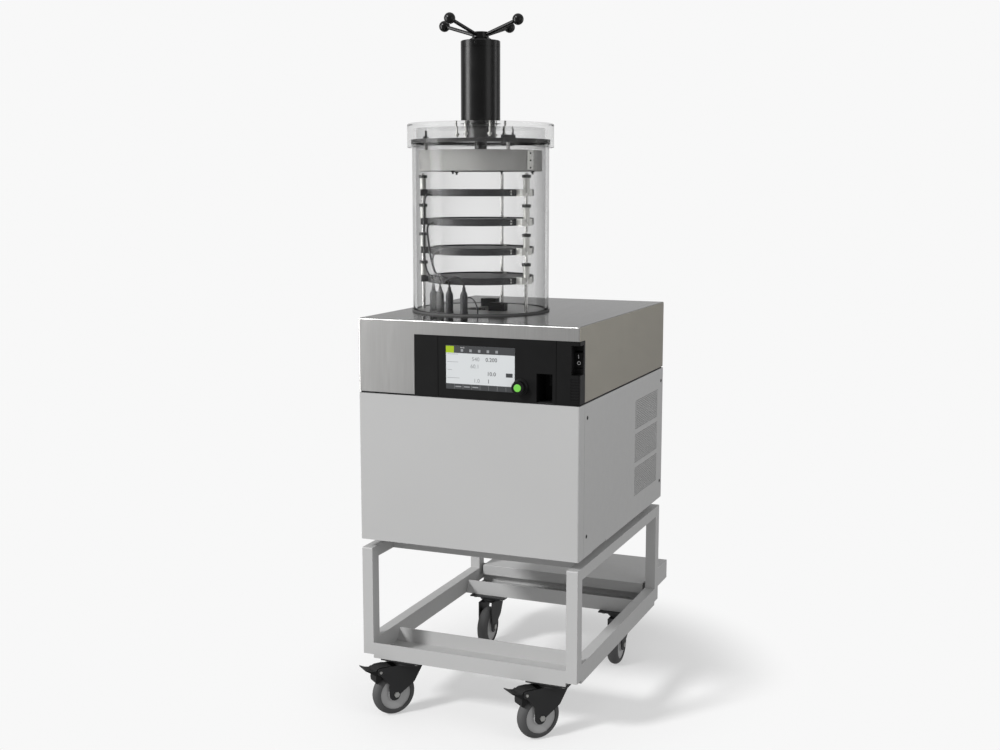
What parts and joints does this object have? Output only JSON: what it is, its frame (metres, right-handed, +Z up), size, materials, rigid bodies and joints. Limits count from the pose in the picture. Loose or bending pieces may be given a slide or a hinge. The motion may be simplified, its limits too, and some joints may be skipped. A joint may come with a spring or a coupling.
{
  "type": "freeze dryer",
  "caption": "Floor-standing freeze dryer: clear stoppering chamber with heated shelves and hand-wheel press over an ice condenser, on a castored stand with a pump shelf.",
  "frame": {"origin": "floor level, midway between the outermost points of the plan", "axes": "+Z up, +X to the right of someone facing the control panel, +Y towards the back"},
  "size_m": [0.51, 0.8998, 1.5518],
  "materials": {
    "powder_white_grey": "satin powder coat on sheet steel",
    "brushed_cover": "stainless sheet, brushed",
    "steel": "stainless steel, brushed",
    "black_plastic": "matt black",
    "screen": "glossy display cover",
    "green_button": "translucent green, lit",
    "rubber": "matt black seal rubber",
    "acrylic": "clear polished acrylic",
    "black_metal": "satin black",
    "shelf_black": "black anodised",
    "light_alloy": "bead-blasted",
    "zinc": "black electrophoretic coat",
    "tyre": "matt grey-black tyre on a grey plastic disc",
    "lead_black": "matt black sheath",
    "copper": "bright copper tube",
    "grey_plastic": "matt dark grey"
  },
  "bodies": {
    "stand": {"base_pan": "powder_white_grey", "cart_channels": "powder_white_grey", "cart_cross_rails": "powder_white_grey", "cart_left_side": "powder_white_grey", "cart_right_side": "powder_white_grey", "castor_plates": "zinc", "chamber_cylinder": "acrylic", "chamber_floor": "steel", "chamber_gaskets": "rubber", "chassis_deck": "powder_white_grey", "compressor": "black_metal", "condenser_coil": "copper", "condenser_pot": "steel", "display_screen": "screen", "drain_nozzle": "black_plastic", "fascia": "black_plastic", "front_panel": "powder_white_grey", "guide_rods": "steel", "heat_exchanger": "light_alloy", "lead_plugs": "grey_plastic", "lead_sensor": "lead_black", "lead_shelf_1": "lead_black", "lead_shelf_2": "lead_black", "lead_shelf_3": "lead_black", "lead_shelf_4": "lead_black", "left_panel": "powder_white_grey", "lid": "acrylic", "mains_inlet": "black_plastic", "pump_shelf": "powder_white_grey", "rear_panel": "powder_white_grey", "right_panel": "powder_white_grey", "shelf_4": "shelf_black", "shelf_4_guides": "light_alloy", "stoppering_tube": "black_metal", "terminal_blocks": "black_plastic", "top_cover": "brushed_cover", "vacuum_port": "steel"},
    "castor_front_left": {"fork_front_left": "zinc"},
    "wheel_front_left": {"wheel_front_left": "tyre"},
    "pedal_left": {"brake_pedal_left": "black_plastic"},
    "castor_front_right": {"fork_front_right": "zinc"},
    "wheel_front_right": {"wheel_front_right": "tyre"},
    "pedal_right": {"brake_pedal_right": "black_plastic"},
    "castor_rear_left": {"fork_rear_left": "zinc"},
    "wheel_rear_left": {"wheel_rear_left": "tyre"},
    "castor_rear_right": {"fork_rear_right": "zinc"},
    "wheel_rear_right": {"wheel_rear_right": "tyre"},
    "knob": {"control_knob": "black_plastic"},
    "button": {"knob_button": "green_button"},
    "rocker": {"power_rocker": "black_plastic"},
    "fan": {"fan_rotor": "black_plastic"},
    "handle": {"stoppering_handle": "black_metal"},
    "press": {"piston_rod": "steel", "pressure_plate": "steel"},
    "shelf_1": {"shelf_1": "shelf_black", "shelf_1_guides": "light_alloy"},
    "shelf_2": {"shelf_2": "shelf_black", "shelf_2_guides": "light_alloy"},
    "shelf_3": {"shelf_3": "shelf_black", "shelf_3_guides": "light_alloy"}
  },
  "joints": [
    {"name": "swivel_front_left", "type": "hinge", "parent": "stand", "child": "castor_front_left", "pos_m": [-0.163, -0.347, 0.113], "axis": [0, 0, 1], "continuous": true},
    {"name": "roll_front_left", "type": "hinge", "parent": "castor_front_left", "child": "wheel_front_left", "pos_m": [-0.186, -0.3747, 0.05], "axis": [-0.7694, 0.6388, 0], "continuous": true},
    {"name": "brake_left", "type": "hinge", "parent": "castor_front_left", "child": "pedal_left", "pos_m": [-0.21027, -0.40394, 0.108], "axis": [0.7694, -0.6388, 0], "range_deg": [0, 8]},
    {"name": "swivel_front_right", "type": "hinge", "parent": "stand", "child": "castor_front_right", "pos_m": [0.185, -0.347, 0.113], "axis": [0, 0, 1], "continuous": true},
    {"name": "roll_front_right", "type": "hinge", "parent": "castor_front_right", "child": "wheel_front_right", "pos_m": [0.162, -0.3747, 0.05], "axis": [-0.7694, 0.6388, 0], "continuous": true},
    {"name": "brake_right", "type": "hinge", "parent": "castor_front_right", "child": "pedal_right", "pos_m": [0.13773, -0.40394, 0.108], "axis": [0.7694, -0.6388, 0], "range_deg": [0, 8]},
    {"name": "swivel_rear_left", "type": "hinge", "parent": "stand", "child": "castor_rear_left", "pos_m": [-0.163, 0.153, 0.113], "axis": [0, 0, 1], "continuous": true},
    {"name": "roll_rear_left", "type": "hinge", "parent": "castor_rear_left", "child": "wheel_rear_left", "pos_m": [-0.16237, 0.117, 0.05], "axis": [-0.9998, -0.0175, 0], "continuous": true},
    {"name": "swivel_rear_right", "type": "hinge", "parent": "stand", "child": "castor_rear_right", "pos_m": [0.185, 0.153, 0.113], "axis": [0, 0, 1], "continuous": true},
    {"name": "roll_rear_right", "type": "hinge", "parent": "castor_rear_right", "child": "wheel_rear_right", "pos_m": [0.18563, 0.117, 0.05], "axis": [-0.9998, -0.0175, 0], "continuous": true},
    {"name": "knob_turn", "type": "hinge", "parent": "stand", "child": "knob", "pos_m": [0.125, -0.388, 0.765], "axis": [0, -1, 0], "continuous": true},
    {"name": "button_press", "type": "slide", "parent": "knob", "child": "button", "axis": [0, 1, 0], "range_m": [0, 0.002], "stiffness_N_per_m": 600},
    {"name": "rocker_tilt", "type": "hinge", "parent": "stand", "child": "rocker", "pos_m": [0.24445, -0.358, 0.8255], "axis": [-1, 0, 0], "range_deg": [0, 18]},
    {"name": "fan_spin", "type": "hinge", "parent": "stand", "child": "fan", "pos_m": [0.1985, 0.11, 0.5595], "axis": [1, 0, 0], "continuous": true},
    {"name": "handle_turn", "type": "hinge", "parent": "stand", "child": "handle", "pos_m": [-0.078, -0.121, 1.5003], "axis": [0, 0, -1], "range_deg": [0, 2070]},
    {"name": "press_slide", "type": "slide", "parent": "stand", "child": "press", "axis": [0, 0, -1], "range_m": [0, 0.046]},
    {"name": "shelf_1_slide", "type": "slide", "parent": "stand", "child": "shelf_1", "axis": [0, 0, -1], "range_m": [0, 0.04006]},
    {"name": "shelf_2_slide", "type": "slide", "parent": "stand", "child": "shelf_2", "axis": [0, 0, -1], "range_m": [0, 0.0267]},
    {"name": "shelf_3_slide", "type": "slide", "parent": "stand", "child": "shelf_3", "axis": [0, 0, -1], "range_m": [0, 0.01335]}
  ],
  "couplings": [
    {"joint": "handle_turn", "follows": "press_slide", "rad_per_m": 785.4},
    {"joint": "shelf_1_slide", "follows": "press_slide", "ratio": 0.87087},
    {"joint": "shelf_2_slide", "follows": "press_slide", "ratio": 0.58043},
    {"joint": "shelf_3_slide", "follows": "press_slide", "ratio": 0.29022}
  ]
}
